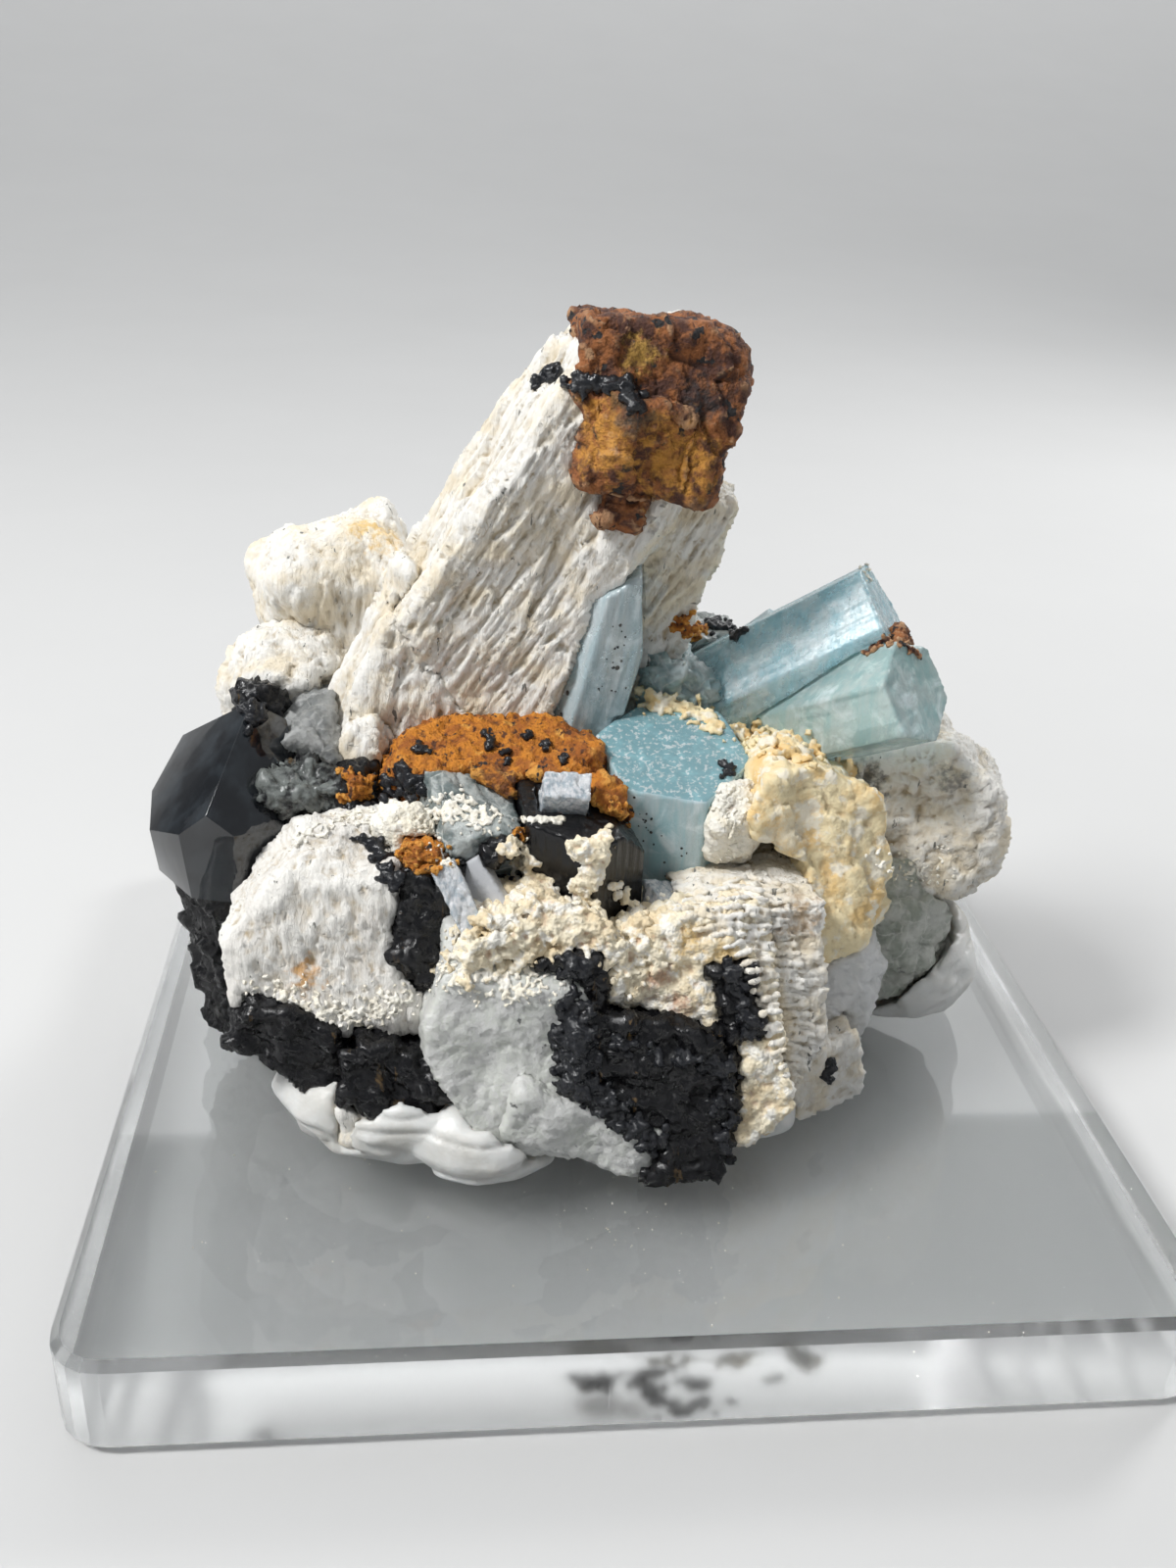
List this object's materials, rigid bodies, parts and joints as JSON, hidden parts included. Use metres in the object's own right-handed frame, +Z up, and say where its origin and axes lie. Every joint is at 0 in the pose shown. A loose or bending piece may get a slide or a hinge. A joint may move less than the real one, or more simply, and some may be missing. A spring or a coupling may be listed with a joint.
{
  "type": "mineral specimen on a display slab",
  "caption": "Aquamarine crystals with black tourmaline, feldspar and quartz on matrix, stuck with putty to a clear square display slab.",
  "frame": {"origin": "middle of the display slab's underside", "axes": "+Z up, +X to the viewer's right, +Y away from the viewer"},
  "size_m": [0.064, 0.064, 0.0541],
  "materials": {
    "clear_acrylic": "clear, polished, lightly scratched",
    "clear_crystal": "clear, striated",
    "milky_quartz": "translucent, granular",
    "aquamarine": "clear blue, finely etched",
    "schorl": "glossy black, striated",
    "feldspar": "matt, ribbed",
    "cream_feldspar": "matt, crumbly",
    "stained_feldspar": "matt, iron stained",
    "limonite": "earthy, matt",
    "grey_green_crystal": "glassy",
    "matrix": "rough",
    "putty": "smooth, soft"
  },
  "bodies": {
    "root": {"acrylic_base": "clear_acrylic", "clear_prism_upper": "clear_crystal", "clear_prism_lower": "clear_crystal", "quartz_small_clear": "clear_crystal", "quartz_plate": "milky_quartz", "quartz_grey_right": "milky_quartz", "quartz_white_right": "milky_quartz", "quartz_left": "milky_quartz", "quartz_pale_back": "milky_quartz", "aquamarine_front": "aquamarine", "aquamarine_back": "aquamarine", "aquamarine_hex": "aquamarine", "aquamarine_large": "aquamarine", "schorl_blade": "schorl", "schorl_left": "schorl", "schorl_front_prism": "schorl", "schorl_sliver_right": "schorl", "schorl_front_low": "schorl", "schorl_chips_left": "schorl", "schorl_left_rear": "schorl", "schorl_center": "schorl", "schorl_low_left": "schorl", "schorl_low_middle": "schorl", "schorl_back": "schorl", "feldspar_tall": "feldspar", "feldspar_foot": "feldspar", "feldspar_ribbed_right": "feldspar", "feldspar_chip_right": "feldspar", "feldspar_right": "feldspar", "feldspar_chip_low": "feldspar", "feldspar_front_left": "feldspar", "feldspar_back_left_lower": "feldspar", "feldspar_back_left_upper": "feldspar", "feldspar_back_right": "feldspar", "feldspar_front_center": "cream_feldspar", "albite_crust_upper": "cream_feldspar", "albite_patch": "cream_feldspar", "albite_small_left": "cream_feldspar", "feldspar_yellow": "stained_feldspar", "albite_crust_back": "stained_feldspar", "limonite_cap_top": "limonite", "limonite_cap_center": "limonite", "limonite_seam": "limonite", "limonite_small_left": "limonite", "limonite_small_right": "limonite", "glassy_grey_crystal": "grey_green_crystal", "dark_crystal_back": "grey_green_crystal", "matrix_core": "matrix", "putty_front_left": "putty", "putty_front_right": "putty", "putty_back_right": "putty"}
  },
  "joints": []
}
